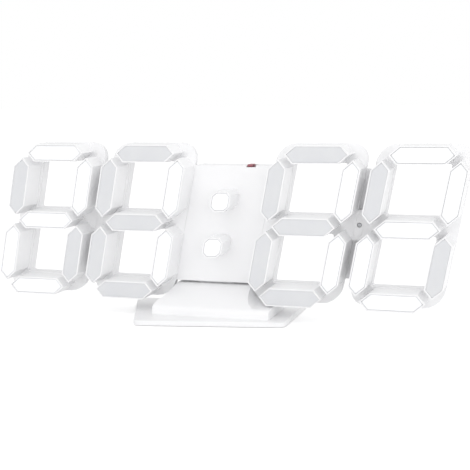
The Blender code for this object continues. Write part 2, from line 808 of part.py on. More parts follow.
def push_button(name):
    """A button's cap with the flange that keeps it in and the peg that presses its switch."""
    wall_front = CASE_DEPTH - CASE_WALL
    flange_back = wall_front - GAP
    flange_front = flange_back - BUTTON_FLANGE_THICKNESS
    top = CASE_DEPTH + BUTTON_PROUD
    profile = [
        (BUTTON_PEG_RADIUS, tact_back() + BUTTON_TRAVEL + GAP),
        (BUTTON_PEG_RADIUS, flange_front),
        (BUTTON_FLANGE_RADIUS, flange_front),
        (BUTTON_FLANGE_RADIUS, flange_back),
        (BUTTON_RADIUS, flange_back),
        (BUTTON_RADIUS, top - BUTTON_EDGE_CHAMFER),
        (BUTTON_RADIUS - BUTTON_EDGE_CHAMFER, top),
    ]
    return turned(name, profile)


def cell_holder(name):
    """A round cup behind the battery cap, open to the back, that the coin cell lies in."""
    back = CASE_DEPTH - CASE_WALL - GAP
    cell_front = back - CELL_THICKNESS
    front = cell_front - GAP - HOLDER_WALL
    holder = cylinder(name, CAP_RADIUS + GAP + HOLDER_WALL, front, back)
    bore = cylinder(name + "_bore", CELL_RADIUS + GAP, front + HOLDER_WALL, back + OVERRUN)
    return boolean(holder, bore)


def coin_cell(name):
    """The cell's wide can faces the cap, and its narrower contact faces the holder."""
    back = CASE_DEPTH - CASE_WALL - GAP
    front = back - CELL_THICKNESS
    profile = [
        (CELL_RADIUS - CELL_STEP, front),
        (CELL_RADIUS - CELL_STEP, front + CELL_STEP),
        (CELL_RADIUS, front + 2 * CELL_STEP),
        (CELL_RADIUS, back - CELL_STEP / 2),
        (CELL_RADIUS - CELL_STEP / 2, back),
    ]
    return turned(name, profile)


def battery_cap(name):
    """A round cap with a coin slot, flush with the back of the case."""
    front = CASE_DEPTH - CASE_WALL
    cap = turned(name, [(CAP_RADIUS, front), (CAP_RADIUS, CASE_DEPTH)])
    slot = block(
        name + "_slot",
        (-CAP_SLOT_LENGTH / 2, CASE_DEPTH - CAP_SLOT_DEPTH, -CAP_SLOT_WIDTH / 2),
        (CAP_SLOT_LENGTH / 2, CASE_DEPTH + OVERRUN, CAP_SLOT_WIDTH / 2),
        slanted=False,
    )
    return boolean(cap, slot)


def socket_prism(name, margin, front, back):
    """The power socket's rounded outline, moved inwards by the margin, as a solid along the depth."""
    centre = (SOCKET_OFFSET + KEYHOLE_HEIGHT * SLANT, KEYHOLE_HEIGHT)
    corners = rectangle(SOCKET_LENGTH - 2 * margin, SOCKET_WIDTH - 2 * margin, centre)
    outline = rounded(corners, SOCKET_CORNER_RADIUS - margin, CORNER_STEPS)
    return prism(name, outline, front, back, slanted=False)


def power_socket(name):
    """A metal shell, open to the back, with a flat tongue inside it."""
    front = BOARD_BACK + GAP
    back = CASE_DEPTH - GAP
    socket = socket_prism(name, 0, front, back)
    boolean(socket, socket_prism(name + "_bore", SOCKET_WALL, front + SOCKET_FLOOR, back + OVERRUN))
    x = SOCKET_OFFSET + KEYHOLE_HEIGHT * SLANT
    tongue = block(
        name + "_tongue",
        (x - SOCKET_TONGUE_WIDTH / 2, front + SOCKET_FLOOR / 2, KEYHOLE_HEIGHT - SOCKET_TONGUE_HEIGHT / 2),
        (x + SOCKET_TONGUE_WIDTH / 2, back - SOCKET_FLOOR, KEYHOLE_HEIGHT + SOCKET_TONGUE_HEIGHT / 2),
        slanted=False,
    )
    return boolean(socket, tongue, "UNION")


def buzzer(name):
    """A round buzzer on the main board, with one sound hole in its back."""
    front = BOARD_BACK + GAP
    back = front + BUZZER_HEIGHT
    place = (-BUZZER_OFFSET, KEYHOLE_HEIGHT)
    case = cylinder(name, BUZZER_RADIUS, front, back, *place)
    middle = (front + back) / 2
    return boolean(case, cylinder(name + "_hole", SOUND_HOLE_RADIUS, middle, back + OVERRUN, *place))


def switch_back():
    return BOARD_BACK + GAP + SWITCH_WIDTH


def switch_body(name):
    """The alarm switch's housing, under the top wall of the case and behind the main board."""
    half = switch_half_length() + GAP
    top = PANEL_TOP - CASE_WALL - GAP
    return block(
        name,
        (SWITCH_OFFSET - half, BOARD_BACK + GAP, top - SWITCH_BODY_HEIGHT),
        (SWITCH_OFFSET + half, switch_back(), top),
    )


def alarm_slider(name):
    """The alarm switch's knob, which runs along the notch in the top edge. It rests at the left end."""
    centre = SWITCH_OFFSET - SLIDER_TRAVEL / 2
    left = centre - SLIDER_LENGTH / 2
    right = centre + SLIDER_LENGTH / 2
    top = PANEL_TOP + SLIDER_PROUD
    floor = PANEL_TOP - SWITCH_NOTCH_DEPTH + GAP
    slider = block(name, (left, CUP_DEPTH + GAP, floor), (right, switch_back() - GAP, top))
    stem = block(
        name + "_stem",
        (left, BOARD_BACK + 2 * GAP, PANEL_TOP - CASE_WALL),
        (right, switch_back() - GAP, floor + SLIDER_PROUD),
    )
    return boolean(slider, stem, "UNION")


def light_sensor(name):
    """The sensor that looks out through the hole in the web between the right-hand digits."""
    back = COVER_FRONT - GAP
    return turned(name, [(SENSOR_HOLE_RADIUS - GAP, CUP_DEPTH + GAP), (SENSOR_HOLE_RADIUS - GAP, back)])


# Stand, in heights above the table


def foot_bottom():
    return PAD_PROUD


def foot_top():
    return foot_bottom() + FOOT_THICKNESS


def foot_outline(margin=0):
    """The foot's (x, y) outline about its pivot: a trapezoid, wider at the back, with rounded corners."""
    front, back = -FOOT_FRONT_REACH, FOOT_DEPTH - FOOT_FRONT_REACH
    half = FOOT_FRONT_WIDTH / 2
    wide = half + FOOT_DEPTH * math.tan(FOOT_SPLAY)
    corners = inset([(-half, front), (half, front), (wide, back), (-wide, back)], margin)
    return rounded(corners, FOOT_CORNER_RADIUS - min(margin, FOOT_CORNER_RADIUS / 2), CORNER_STEPS)


def stand_foot(name):
    """The flat foot, with a raised hub round its pivot and a shallow recess below for the grip pad."""
    low, top = foot_bottom(), foot_top()
    edge = FOOT_EDGE_CHAMFER
    foot = stacked(name, [(foot_outline(), low), (foot_outline(), top - edge), (foot_outline(edge), top)])
    hub_top = top + HUB_HEIGHT
    hub_rings = [
        (circle(HUB_RADIUS), top - FOOT_THICKNESS / 2),
        (circle(HUB_RADIUS), hub_top - FOOT_EDGE_CHAMFER),
        (circle(HUB_RADIUS - FOOT_EDGE_CHAMFER), hub_top),
    ]
    boolean(foot, stacked(name + "_hub", hub_rings), "UNION")
    recess = foot_outline(PAD_MARGIN - GAP)
    recess_rings = [(recess, low - OVERRUN), (recess, PAD_THICKNESS + GAP)]
    boolean(foot, stacked(name + "_recess", recess_rings))
    head_hole = circle(PIVOT_HEAD_RADIUS + GAP)
    boolean(foot, stacked(name + "_head_hole", [(head_hole, low), (head_hole, pivot_head_top() + GAP)]))
    shank_hole = circle(PIVOT_SHANK_RADIUS + GAP)
    shank_rings = [(shank_hole, low), (shank_hole, hub_top + OVERRUN)]
    return boolean(foot, stacked(name + "_shank_hole", shank_rings))


def pivot_head_top():
    return PAD_THICKNESS + GAP + PIVOT_HEAD_THICKNESS


def pivot_screw(name):
    """The shouldered screw that the foot turns on, with its head down in the foot."""
    top = pivot_head_top()
    rings = [
        (circle(PIVOT_HEAD_RADIUS), PAD_THICKNESS + GAP),
        (circle(PIVOT_HEAD_RADIUS), top),
        (circle(PIVOT_SHANK_RADIUS), top),
        (circle(PIVOT_SHANK_RADIUS), top + PIVOT_REACH - GAP),
        (circle(PIVOT_SHANK_RADIUS - GAP), top + PIVOT_REACH),
    ]
    return stacked(name, rings)


def grip_pad(name):
    outline = foot_outline(PAD_MARGIN)
    return stacked(name, [(outline, 0), (outline, PAD_THICKNESS)])


def neck_front_outline(base, top):
    """The neck's (x, z) outline, z from the digits' middle: wide at its base, then drawn in between the
    lower corners of the two middle digits, a constant clearance away from them."""
    shoulder = -DIGIT_HEIGHT / 2 - UNDER_GAP
    left = STAND_CENTRE - NECK_WIDTH / 2
    right = STAND_CENTRE + NECK_WIDTH / 2
    arc = PLATE_CORNER_RADIUS + NECK_SIDE_CLEARANCE
    arc_x = (CENTRE_PITCH - PLATE_WIDTH) / 2 + PLATE_CORNER_RADIUS
    arc_z = PLATE_CORNER_RADIUS - PLATE_HEIGHT / 2
    sides = []
    for step in range(CORNER_STEPS + 1):
        z = shoulder + (top - shoulder) * step / CORNER_STEPS
        bulge = math.sqrt(max(arc * arc - (min(z, arc_z) - arc_z) ** 2, 0))
        inner = arc_x - bulge
        sides.append((min(z * SLANT + inner, right), max(z * SLANT - inner, left), z))
    outline = [(left, base), (right, base), (right, shoulder)]
    outline += [(right_x, z) for right_x, left_x, z in sides]
    outline += [(left_x, z) for right_x, left_x, z in reversed(sides)]
    return outline


def neck_profile(base, top):
    """The neck's (y, z) outline: a flared front, a rounded brow, and a ramp up to the centre panel."""
    face = -NECK_FRONT
    outline = [(NECK_BACK, base), (NECK_BACK, top), (NECK_RAMP_END, top)]
    centre_y = face + NECK_BROW_RADIUS
    centre_z = -DIGIT_HEIGHT / 2 - UNDER_GAP - NECK_BROW_RADIUS
    rise = math.atan2(top - centre_z - NECK_BROW_RADIUS, NECK_RAMP_END - centre_y)
    for step in range(EDGE_STEPS + 1):
        angle = math.pi / 2 + rise + (math.pi / 2 - rise) * step / EDGE_STEPS
        y = centre_y + NECK_BROW_RADIUS * math.cos(angle)
        outline.append((y, centre_z + NECK_BROW_RADIUS * math.sin(angle)))
    for step in range(EDGE_STEPS + 1):
        angle = math.pi / 2 * step / EDGE_STEPS
        y = face - NECK_FLARE * (1 - math.cos(angle))
        outline.append((y, base + NECK_FLARE * (1 - math.sin(angle))))
    return outline


def stand_neck(name):
    """The block that carries the clock. It stands on the foot, and its tongue enters the centre case."""
    base = foot_top() + GAP - CENTRE_HEIGHT
    top = -PANEL_BOTTOM - PANEL_GAP
    left = STAND_CENTRE - NECK_WIDTH / 2
    right = STAND_CENTRE + NECK_WIDTH / 2
    rings = [[(x, y, z) for y, z in neck_profile(base, top)] for x in (left - OVERRUN, right + OVERRUN)]
    neck = skinned(name, rings)
    front = -NECK_FRONT - NECK_FLARE - OVERRUN
    outline = neck_front_outline(base, top)
    outer = prism(name + "_outer", outline, front, NECK_BACK + OVERRUN, slanted=False)
    boolean(neck, outer, "INTERSECT")
    shoulder = -DIGIT_HEIGHT / 2 - UNDER_GAP
    pocket_front = PIVOT_DEPTH + HUB_RADIUS + GAP + NECK_WALL
    low_pocket = block(
        name + "_low_pocket",
        (left + NECK_WALL, pocket_front, base - OVERRUN),
        (right - NECK_WALL, NECK_BACK - NECK_WALL, shoulder - NECK_WALL),
        slanted=False,
    )
    boolean(neck, low_pocket)
    half = PANEL_HALF_WIDTH - NECK_SIDE_CLEARANCE - 2 * NECK_WALL
    high_pocket = block(
        name + "_high_pocket",
        (-half, pocket_front + NECK_WALL, shoulder - NECK_WALL - OVERRUN),
        (half, NECK_BACK - NECK_WALL, top - NECK_WALL),
    )
    boolean(neck, high_pocket)
    tongue = block(
        name + "_tongue",
        (-TONGUE_WIDTH / 2, BOARD_BACK + GAP, top - NECK_WALL / 2),
        (TONGUE_WIDTH / 2, BOARD_BACK + GAP + TONGUE_THICKNESS, top + TONGUE_RISE),
    )
    boolean(neck, tongue, "UNION")
    place = (STAND_CENTRE + PIVOT_SIDE, PIVOT_DEPTH)
    hub_hole = circle(HUB_RADIUS + GAP, place)
    boolean(neck, stacked(name + "_hub_hole", [(hub_hole, base - OVERRUN), (hub_hole, base + HUB_HEIGHT)]))
    screw_hole = circle(PIVOT_SHANK_RADIUS + GAP, place)
    screw_top = pivot_head_top() + PIVOT_REACH + GAP - CENTRE_HEIGHT
    return boolean(neck, stacked(name + "_screw_hole", [(screw_hole, base), (screw_hole, screw_top)]))


def empty(name, location, turn=0.0):
    holder = bpy.data.objects.new(name, None)
    holder.location = location
    holder.rotation_euler = (0, 0, turn)
    bpy.context.scene.collection.objects.link(holder)
    return holder


def slanted_place(x, z):
    return x + z * SLANT, 0, z


def build_digits(clock, shell, lit, unlit):
    for number, (shown, x) in enumerate(zip(TIME_SHOWN, DIGIT_CENTRES), 1):
        finish(front_frame(f"digit_{number}_front_frame"), shell, clock, (x, 0, 0))
        for segment in SEGMENTS:
            outline = segment_outline(segment, CUP_WALL + LENS_CLEARANCE)
            piece = lens(f"digit_{number}_{segment}_lens", outline)
            finish(piece, lit if segment in LIT_SEGMENTS[shown] else unlit, clock, (x, 0, 0))


def build_pairs(clock, cover, board):
    pair = CENTRE_PITCH / 2 + DIGIT_PITCH / 2
    for side, centre_side in (("left", 1), ("right", -1)):
        place = (-centre_side * pair, 0, 0)
        shell = rear_cover(f"rear_cover_{side}", centre_side, side == "right")
        finish(shell, cover, clock, place, smooth=True)
        finish(led_board(f"{side}_led_board", centre_side), board, clock, place)
    sensor = paint("sensor_resin", (0.03, 0.03, 0.035), 0.2)
    finish(light_sensor("light_sensor"), sensor, clock, (pair, 0, 0), smooth=True)


def build_centre(clock, shell, cover, lit, board):
    steel = paint("nickel_plated_steel", (0.6, 0.59, 0.57), 0.32, metallic=1.0)
    rubber = paint("grey_button_plastic", (0.42, 0.43, 0.45), 0.55)
    black = paint("black_housing", (0.02, 0.02, 0.022), 0.45)
    finish(centre_panel("centre_panel"), shell, clock)
    finish(colon_lens("upper_colon_lens", 1), lit, clock)
    finish(colon_lens("lower_colon_lens", -1), lit, clock)
    finish(rear_case("centre_rear_case"), cover, clock, smooth=True)
    finish(main_board("main_board"), board, clock)
    for name, x in zip(("set_button", "up_button", "down_button"), button_places()):
        finish(push_button(name), rubber, clock, slanted_place(x, BUTTON_HEIGHT), smooth=True)
    cell_place = slanted_place(0, -CELL_DROP)
    finish(cell_holder("coin_cell_holder"), black, clock, cell_place, smooth=True)
    finish(coin_cell("coin_cell"), steel, clock, cell_place, smooth=True)
    finish(battery_cap("battery_cap"), cover, clock, cell_place, smooth=True)
    finish(switch_body("alarm_switch_body"), black, clock)
    red = paint("red_slider_plastic", (0.55, 0.05, 0.07), 0.4)
    slider_place = slanted_place(SWITCH_OFFSET, PANEL_TOP)
    slider = alarm_slider("alarm_slider")
    finish(slider, red, clock, slider_place)
    for solid in (slider, slider.modifiers[0].object):
        solid.data.transform(Matrix.Translation(-Vector(slider_place)))
    finish(power_socket("power_socket"), steel, clock, smooth=True)
    finish(buzzer("buzzer"), black, clock, smooth=True)
    number = 0
    for side in (-1, 1):
        for z in screw_heights():
            number += 1
            place = slanted_place(side * screw_offset(), z)
            finish(case_screw(f"case_screw_{number}"), steel, clock, place, smooth=True)


def build_stand(clock, shell):
    finish(stand_neck("stand_neck"), shell, clock)
    place = (STAND_CENTRE + PIVOT_SIDE, PIVOT_DEPTH, 0)
    pivot = empty("foot_pivot", place, FOOT_TURN)
    finish(stand_foot("stand_foot"), shell, pivot, smooth=True)
    finish(grip_pad("foot_grip_pad"), paint("silicone_pad", (0.5, 0.5, 0.5), 0.8), pivot)
    screw = paint("zinc_plated_screw", (0.55, 0.55, 0.56), 0.35, metallic=1.0)
    finish(pivot_screw("foot_pivot_screw"), screw, None, place, smooth=True)


def main():
    for piece in list(bpy.data.objects):
        bpy.data.objects.remove(piece)
    shell = paint("white_shell", (0.86, 0.86, 0.87), 0.38)
    cover = paint("white_cover", (0.84, 0.84, 0.85), 0.5)
    unlit = paint("unlit_lens", (0.74, 0.75, 0.76), 0.55)
    lit = paint("lit_lens", (1.0, 1.0, 1.0), 0.4, glow=1.0)
    board = paint("white_circuit_board", (0.75, 0.76, 0.72), 0.5)
    clock = empty("clock", (0, 0, CENTRE_HEIGHT))
    build_digits(clock, shell, lit, unlit)
    build_pairs(clock, cover, board)
    build_centre(clock, shell, cover, lit, board)
    build_stand(clock, shell)


main()
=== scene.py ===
"""LED digital wall clock on its desk stand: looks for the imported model, in metres, +Z up, facing -Y."""

import json
import math

import bmesh
import bpy
import numpy as np
from mathutils import Matrix, Vector


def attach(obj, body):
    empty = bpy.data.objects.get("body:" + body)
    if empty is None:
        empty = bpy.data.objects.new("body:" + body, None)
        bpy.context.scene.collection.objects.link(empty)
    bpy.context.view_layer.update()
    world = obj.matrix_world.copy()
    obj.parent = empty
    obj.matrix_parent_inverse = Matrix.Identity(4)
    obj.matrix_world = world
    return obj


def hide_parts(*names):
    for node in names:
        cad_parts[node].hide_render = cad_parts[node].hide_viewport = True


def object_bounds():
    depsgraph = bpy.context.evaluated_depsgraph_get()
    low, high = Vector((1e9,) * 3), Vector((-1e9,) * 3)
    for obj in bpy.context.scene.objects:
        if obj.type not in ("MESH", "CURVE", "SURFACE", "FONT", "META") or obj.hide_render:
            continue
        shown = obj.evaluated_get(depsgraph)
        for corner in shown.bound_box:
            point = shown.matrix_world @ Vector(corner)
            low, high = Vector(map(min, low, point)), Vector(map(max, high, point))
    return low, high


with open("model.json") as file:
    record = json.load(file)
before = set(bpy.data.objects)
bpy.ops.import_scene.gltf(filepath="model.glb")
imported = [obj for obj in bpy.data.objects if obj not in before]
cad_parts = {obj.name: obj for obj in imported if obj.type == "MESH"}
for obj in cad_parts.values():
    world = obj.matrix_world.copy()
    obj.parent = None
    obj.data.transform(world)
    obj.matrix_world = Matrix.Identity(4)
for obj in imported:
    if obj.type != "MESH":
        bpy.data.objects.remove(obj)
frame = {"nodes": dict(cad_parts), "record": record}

CAD_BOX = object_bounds()
MM = 0.001

# Sizes of the clock in millimetres, x and z measured upright from the middle of the digits
DIGIT_HEIGHT = 78.0
DIGIT_WIDTH = 44.7
STROKE = 8.9
MITRE_GAP = 3.3
SLANT = math.tan(math.radians(10.9))
CENTRE_HEIGHT = 8.4 + DIGIT_HEIGHT / 2
DIGIT_CENTRES = (-92.7, -43.4, 43.4, 92.7)
TIME_SHOWN = "2112"
LENS_MARGIN = 0.74
LIT_LENS_MARGIN = 0.88
LENS_FRONT = 0.16
LENS_BACK = 2.0
LENS_FILLET = 0.16
LENS_CROWN = 0.13
LENS_CORNER = 0.5
LEAST_LENS_CORNER = 0.12
LENS_BACK_EASE = 0.1
COLON_SIZE = 10.1
COLON_CHAMFER = 2.3
COLON_SPACING = 22.8
PLATE_WIDTH = 45.3
PLATE_HEIGHT = 78.6
PLATE_CORNER = 8.8
PLATE_BACK = 15.8
WINDOW_WIDTH = 26.3
WINDOW_HEIGHT = 25.05
COVER_FRONT = 16.1
PANEL_TOP = 28.2
PANEL_BOTTOM = 30.8
PANEL_HALF_WIDTH = 20.45
PAIR_CENTRE = 68.05
WEB_HALF_WIDTH = 1.7
WEB_HALF_HEIGHT = 7.5
LIP_WIDTH = 0.27
LIP_BACK = 15.7
PANEL_LIP_FRONT = 14.15
WEB_LIP_FRONT = 14.04
OUTER_TONGUE_INSET = 0.35
OUTER_TONGUE_WIDTH = 0.5
WINDOW_TONGUE_MARGIN = 1.5
WINDOW_TONGUE_CORNER = 1.6
WINDOW_TONGUE_WIDTH = 0.45
COLUMN = (DIGIT_WIDTH - STROKE) / 2
ROW = (DIGIT_HEIGHT - STROKE) / 2
CHIP_SPREAD = {"level": COLUMN / 2, "upright": ROW / 4, "point": 0.0}
GLOW_REACH = 6.0

# The neck's base on the foot, in millimetres: x and y from the clock's origin, and the skirt's rings as
# (inset, height above the table)
NECK_BASE = (59.94, 31.84)
NECK_BASE_CENTRE = (-2.0, 8.55)
NECK_CORNER = 0.9
LEAST_SKIRT_CORNER = 0.15
SKIRT_RINGS = ((0, 2.62), (0, 2.8), (0.32, 3.05), (0.62, 3.5), (1.6, 3.5), (1.6, 2.62))

SEGMENTS = {
    "top": (0, ROW, "level"),
    "upper_left": (-COLUMN, ROW / 2, "upright"),
    "upper_right": (COLUMN, ROW / 2, "upright"),
    "middle": (0, 0, "level"),
    "lower_left": (-COLUMN, -ROW / 2, "upright"),
    "lower_right": (COLUMN, -ROW / 2, "upright"),
    "bottom": (0, -ROW, "level"),
}
LIT_SEGMENTS = {
    "1": ("upper_right", "lower_right"),
    "2": ("top", "upper_right", "middle", "lower_left", "bottom"),
}


# Outlines as arrays of (x, z) points in millimetres, anticlockwise seen from the front


def inset(points, distance):
    """Each side's line moves inwards by the distance, and each corner is where two moved lines
    cross."""
    along = np.roll(points, -1, axis=0) - points
    along /= np.linalg.norm(along, axis=1, keepdims=True)
    inward = np.stack([-along[:, 1], along[:, 0]], axis=1)
    before = np.roll(inward, 1, axis=0)
    # The corner moves along the sum of its two inward normals, scaled to reach both lines.
    return points + distance * (inward + before) / (1 + np.sum(inward * before, axis=1))[:, None]


def rounded(points, radius, steps=4):
    """Each corner becomes an arc: centre + radius * (cos a, sin a), with a running from the outward
    normal of the side before it to that of the side after it."""
    along = np.roll(points, -1, axis=0) - points
    along /= np.linalg.norm(along, axis=1, keepdims=True)
    before = np.roll(along, 1, axis=0)
    centres = inset(points, radius)
    first = np.arctan2(-before[:, 0], before[:, 1])
    cross = before[:, 0] * along[:, 1] - before[:, 1] * along[:, 0]
    turn = np.arctan2(cross, np.sum(before * along, axis=1))
    angles = first[:, None] + turn[:, None] * np.linspace(0, 1, steps + 1)
    arcs = centres[:, None, :] + radius * np.stack([np.cos(angles), np.sin(angles)], axis=2)
    return arcs.reshape(-1, 2)


def segment_corners(segment, margin):
    """The six corners of a stroke with 45 degree ends, drawn in by the margin."""
    x, z, way = SEGMENTS[segment]
    reach = (COLUMN if way == "level" else ROW / 2) - MITRE_GAP / math.sqrt(2)
    half = STROKE / 2
    corners = np.array([
        (-reach, 0), (half - reach, -half), (reach - half, -half),
        (reach, 0), (reach - half, half), (half - reach, half),
    ])
    if way == "upright":
        corners = np.stack([-corners[:, 1], corners[:, 0]], axis=1)
    return inset(corners, margin) + (x, z)


def colon_corners(side, margin):
    """The eight corners of a colon dot, a square with its corners cut, drawn in by the margin."""
    half = COLON_SIZE / 2
    cut = half - COLON_CHAMFER
    corners = np.array([
        (-cut, -half), (cut, -half), (half, -cut), (half, cut),
        (cut, half), (-cut, half), (-half, cut), (-half, -cut),
    ])
    return inset(corners, margin) + (0, side * COLON_SPACING / 2)


def rectangle(width, height, centre):
    """The corners, half the width and half the height to either side of the centre."""
    corners = np.array([(-width, -height), (width, -height), (width, height), (-width, height)]) / 2
    return corners + centre


# Surfaces


def placed(points):
    """The upright drawing in millimetres to the slanted clock in metres: x moves right by z times the
    slant, y stays, and z rises by the height of the digits' middle."""
    x, y, z = points[..., 0], points[..., 1], points[..., 2]
    return np.stack([x + z * SLANT, y, z + CENTRE_HEIGHT], axis=-1) * MM


def at_depth(outline, depth):
    """The outline's (x, z) points as (x, depth, z)."""
    return np.column_stack([outline[:, 0], np.full(len(outline), depth), outline[:, 1]])


def grid_mesh(name, grid, material):
    """A closed surface through a (rings, around, 3) grid. Its first and last rings are poles, or one and
    the same ring."""
    rings, around = grid.shape[:2]
    index = np.arange(rings * around).reshape(rings, around)
    after = np.roll(index, -1, axis=1)
    faces = np.stack([index[:-1], after[:-1], after[1:], index[1:]], axis=-1).reshape(-1, 4)
    mesh = bpy.data.meshes.new(name)
    mesh.from_pydata(grid.reshape(-1, 3).tolist(), [], faces.tolist())
    bm = bmesh.new()
    bm.from_mesh(mesh)
    bmesh.ops.remove_doubles(bm, verts=bm.verts, dist=1e-7)
    bmesh.ops.recalc_face_normals(bm, faces=bm.faces)
    bm.to_mesh(mesh)
    bm.free()
    mesh.shade_smooth()
    mesh.set_sharp_from_angle(angle=math.radians(40))
    mesh.materials.append(material)
    piece = bpy.data.objects.new(name, mesh)
    bpy.context.scene.collection.objects.link(piece)
    return piece


def crowned_lens(name, corners, material):
    """A lens moulding over rings v and a rounded outline u. Rings on the front fillet follow the outline
    drawn in by the fillet's arc. Rings inside it shrink towards the centre by k, and rise by
    crown * (1 - k^2)."""
    arc = np.linspace(0, math.pi / 2, 4)
    front = [
        (LENS_FILLET * (1 - math.cos(a)), LENS_FRONT + LENS_FILLET * (1 - math.sin(a)), 1.0)
        for a in arc
    ]
    flat = [
        (LENS_FILLET, LENS_FRONT - LENS_CROWN * (1 - k * k), k)
        for k in (0.92, 0.8, 0.6, 0.4, 0.2, 0.0)
    ]
    back = [
        (LENS_BACK_EASE, LENS_BACK, 0.0), (LENS_BACK_EASE, LENS_BACK, 1.0),
        (0.0, LENS_BACK - LENS_BACK_EASE, 1.0),
    ]
    centre = corners.mean(axis=0)
    rings = []
    for margin, depth, shrink in back + front + flat:
        outline = rounded(inset(corners, margin), max(LENS_CORNER - margin, LEAST_LENS_CORNER))
        rings.append(at_depth(centre + (outline - centre) * shrink, depth))
    return grid_mesh(name, placed(np.array(rings)), material)


def moulded_copy(node, material, edge_mm):
    """The node's own solid with its seams merged, its triangles paired into flat faces, and its edges
    rounded as a mould leaves them."""
    source = frame["nodes"][node]
    sharp = math.radians(35)
    bm = bmesh.new()
    bm.from_mesh(source.data)
    bmesh.ops.remove_doubles(bm, verts=bm.verts, dist=2e-6)
    bmesh.ops.join_triangles(
        bm, faces=bm.faces, angle_face_threshold=math.radians(0.4), angle_shape_threshold=math.pi)
    mesh = bpy.data.meshes.new(node + "_moulding")
    bm.to_mesh(mesh)
    bm.free()
    mesh.materials.clear()
    mesh.materials.append(material)
    mesh.shade_smooth()
    mesh.set_sharp_from_angle(angle=sharp)
    piece = bpy.data.objects.new(node + "_moulding", mesh)
    bpy.context.scene.collection.objects.link(piece)
    bevel = piece.modifiers.new("Edge", "BEVEL")
    bevel.width = edge_mm * MM
    bevel.segments = 2
    bevel.limit_method = "ANGLE"
    bevel.angle_limit = sharp
    bevel.miter_outer = "MITER_ARC"
    normals = piece.modifiers.new("Normals", "WEIGHTED_NORMAL")
    normals.keep_sharp = False
    return piece


def dress(piece, node):
    """The piece rides with the node's body and stands for the node."""
    bodies = frame["record"]["behaviour"]["bodies"]
    body = next(body for body, nodes in bodies.items() if node in nodes)
    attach(piece, body)
    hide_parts(node)


# Materials


def linear(code):
    """An sRGB hex colour as linear RGBA."""
    parts = [int(code[i:i + 2], 16) / 255 for i in (1, 3, 5)]
    return (*(p / 12.92 if p <= 0.04045 else ((p + 0.055) / 1.055) ** 2.4 for p in parts), 1.0)


def add(tree, kind, settings=None, inputs=None):
    """A shader node with its settings; inputs hold values, or sockets to link from."""
    node = tree.nodes.new(kind)
    for key, value in (settings or {}).items():
        setattr(node, key, value)
    for key, value in (inputs or {}).items():
        if isinstance(value, bpy.types.NodeSocket):
            tree.links.new(value, node.inputs[key])
        else:
            node.inputs[key].default_value = value
    return node


def new_material(name):
    """A material with a principled shader linked to its output."""
    material = bpy.data.materials.new(name)
    material.use_nodes = True
    tree = material.node_tree
    tree.nodes.clear()
    shader = add(tree, "ShaderNodeBsdfPrincipled")
    add(tree, "ShaderNodeOutputMaterial", inputs={"Surface": shader.outputs["BSDF"]})
    return material, tree, shader


def object_noise(tree, feature_mm, detail=2.0):
    """Noise whose blotches are about feature_mm across."""
    place = add(tree, "ShaderNodeTexCoord").outputs["Object"]
    scale = 1 / (feature_mm * MM)
    return add(tree, "ShaderNodeTexNoise", inputs={"Vector": place, "Scale": scale, "Detail": detail})


def plastic(name, colour, shade, roughness, grain_mm, grain_depth_mm, spread=0.08):
    """A moulded plastic: a faint drift between two colours 12 mm across, a roughness that drifts with
    it, and a bump of the mould's grain."""
    material, tree, shader = new_material(name)
    drift = object_noise(tree, 12.0, 3.0).outputs["Fac"]
    ramp = add(tree, "ShaderNodeValToRGB", inputs={"Fac": drift})
    ramp.color_ramp.elements[0].position = 0.35
    ramp.color_ramp.elements[0].color = linear(shade)
    ramp.color_ramp.elements[1].position = 0.65
    ramp.color_ramp.elements[1].color = linear(colour)
    rough = add(tree, "ShaderNodeMapRange", inputs={
        "Value": drift, "From Min": 0.3, "From Max": 0.7,
        "To Min": roughness - spread, "To Max": roughness + spread,
    })
    grain = object_noise(tree, grain_mm, 2.0).outputs["Fac"]
    depth = grain_depth_mm * MM
    bump = add(tree, "ShaderNodeBump", inputs={"Height": grain, "Strength": 1.0, "Distance": depth})
    shader.inputs["IOR"].default_value = 1.53
    tree.links.new(ramp.outputs["Color"], shader.inputs["Base Color"])
    tree.links.new(rough.outputs["Result"], shader.inputs["Roughness"])
    tree.links.new(bump.outputs["Normal"], shader.inputs["Normal"])
    return material, tree, shader


def satin_abs():
    """ABS from a satin-polished mould: nearly even white, a soft broad sheen and a grain just short of
    smooth. The real grain is about 0.1 mm and too fine to show, so it is drawn at 0.6 mm."""
    return plastic("satin moulded ABS, white", "#FAFAFB", "#F8F8F9", 0.36, 0.6, 0.004)[0]


def spark_abs():
    """ABS from a spark-eroded mould: matt, with a fine even sandy grain, drawn at 0.7 mm so that it
    shows."""
    return plastic("spark-textured ABS, white", "#FBFBFC", "#F9F9FA", 0.58, 0.7, 0.02, 0.04)[0]


def opal_diffuser():
    """Opal polycarbonate with the light behind it off: a milky grey-white skin over a slightly deeper
    body."""
    material, _, shader = plastic("opal polycarbonate, unlit", "#E2E3E5", "#DFE0E3", 0.42, 0.9, 0.003)
    shader.inputs["IOR"].default_value = 1.585
    shader.inputs["Subsurface Weight"].default_value = 0.15
    shader.inputs["Subsurface Radius"].default_value = (1.0, 1.0, 1.0)
    shader.inputs["Subsurface Scale"].default_value = 0.8 * MM
    return material


def lit_diffuser():
    """Opal polycarbonate with its light on: an even white, a little brighter over each chip and dimmer
    at the rim, as chip_glow says."""
    material, tree, shader = plastic("opal polycarbonate, lit", "#D9DADC", "#D5D6D8", 0.42, 0.9, 0.003)
    shader.inputs["IOR"].default_value = 1.585
    glow = add(tree, "ShaderNodeAttribute", {"attribute_name": "chip_glow"}).outputs["Fac"]
    strength = add(tree, "ShaderNodeMapRange", inputs={"Value": glow, "To Min": 0.0, "To Max": 0.42})
    shader.inputs["Emission Color"].default_value = linear("#FFFFFF")
    tree.links.new(strength.outputs["Result"], shader.inputs["Emission Strength"])
    return material


